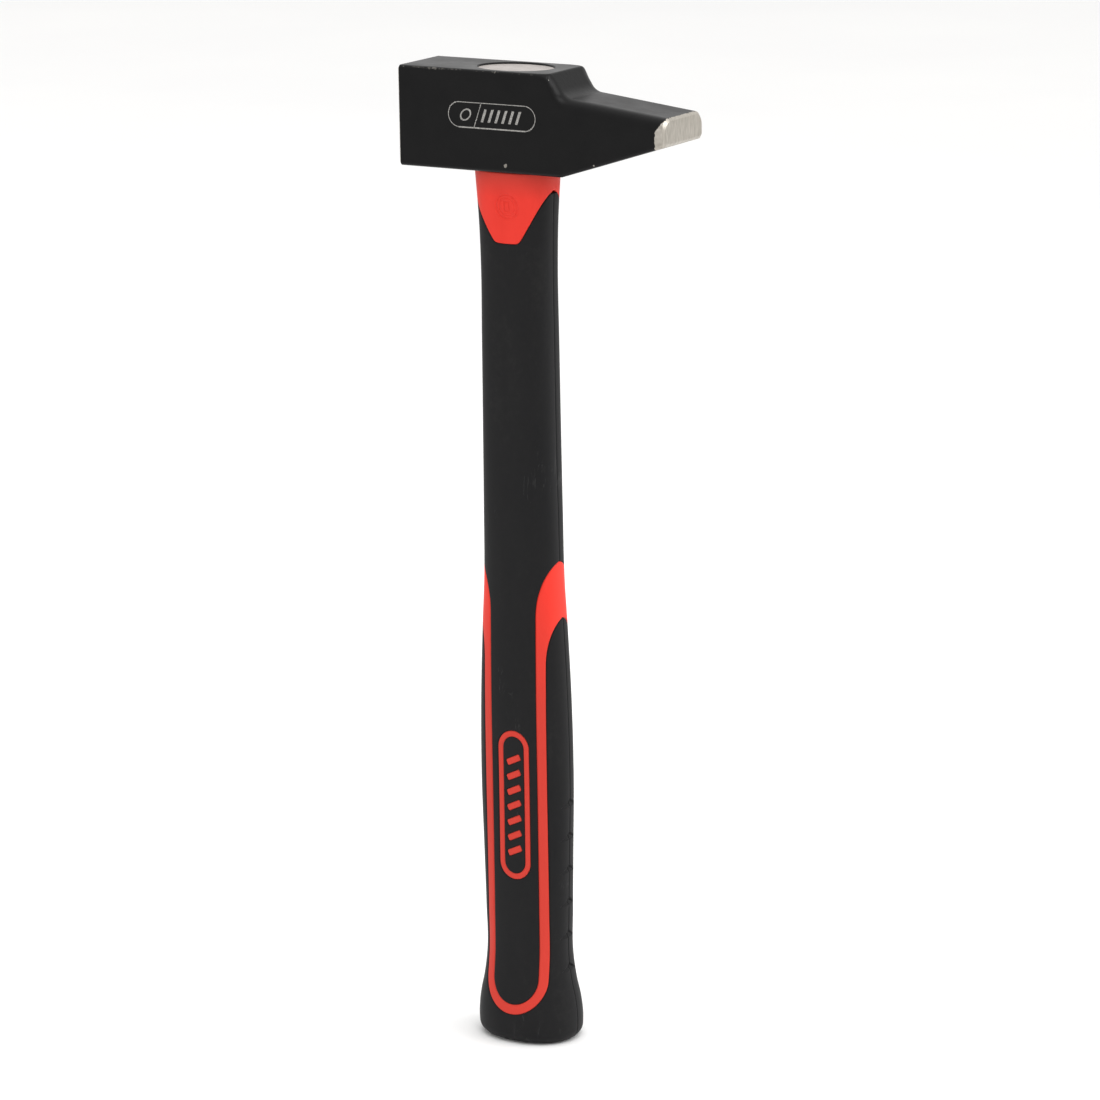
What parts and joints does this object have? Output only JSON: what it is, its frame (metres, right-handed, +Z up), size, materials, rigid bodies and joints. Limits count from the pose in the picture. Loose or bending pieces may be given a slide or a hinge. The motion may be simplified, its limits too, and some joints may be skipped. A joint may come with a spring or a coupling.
{
  "type": "joiner's hammer",
  "caption": "Joiner's hammer with a square striking face, a flat cross peen and a two-component handle on a glass-fibre core, set in the head's oval eye with resin.",
  "frame": {"origin": "middle of the flat end of the butt, on the handle axis", "axes": "+Z runs up the handle to the head, +X points the way the peen points, and the striking face looks along -X"},
  "size_m": [0.098, 0.0282, 0.325],
  "materials": {
    "head_steel": "satin black paint over forged steel, with the peen tip and the striking face ground bright",
    "resin": "cast light grey epoxy",
    "core_composite": "pultruded glass fibre in clear resin",
    "hard_plastic": "red moulded polypropylene, satin",
    "soft_grip": "black thermoplastic rubber, matt with a fine moulded texture"
  },
  "bodies": {
    "root": {"head": "head_steel", "eye_resin": "resin", "fibreglass_core": "core_composite", "handle_jacket": "hard_plastic", "shaft_sleeve": "soft_grip", "lower_grip": "soft_grip", "front_badge_infill": "soft_grip", "back_badge_infill": "soft_grip"}
  },
  "joints": []
}
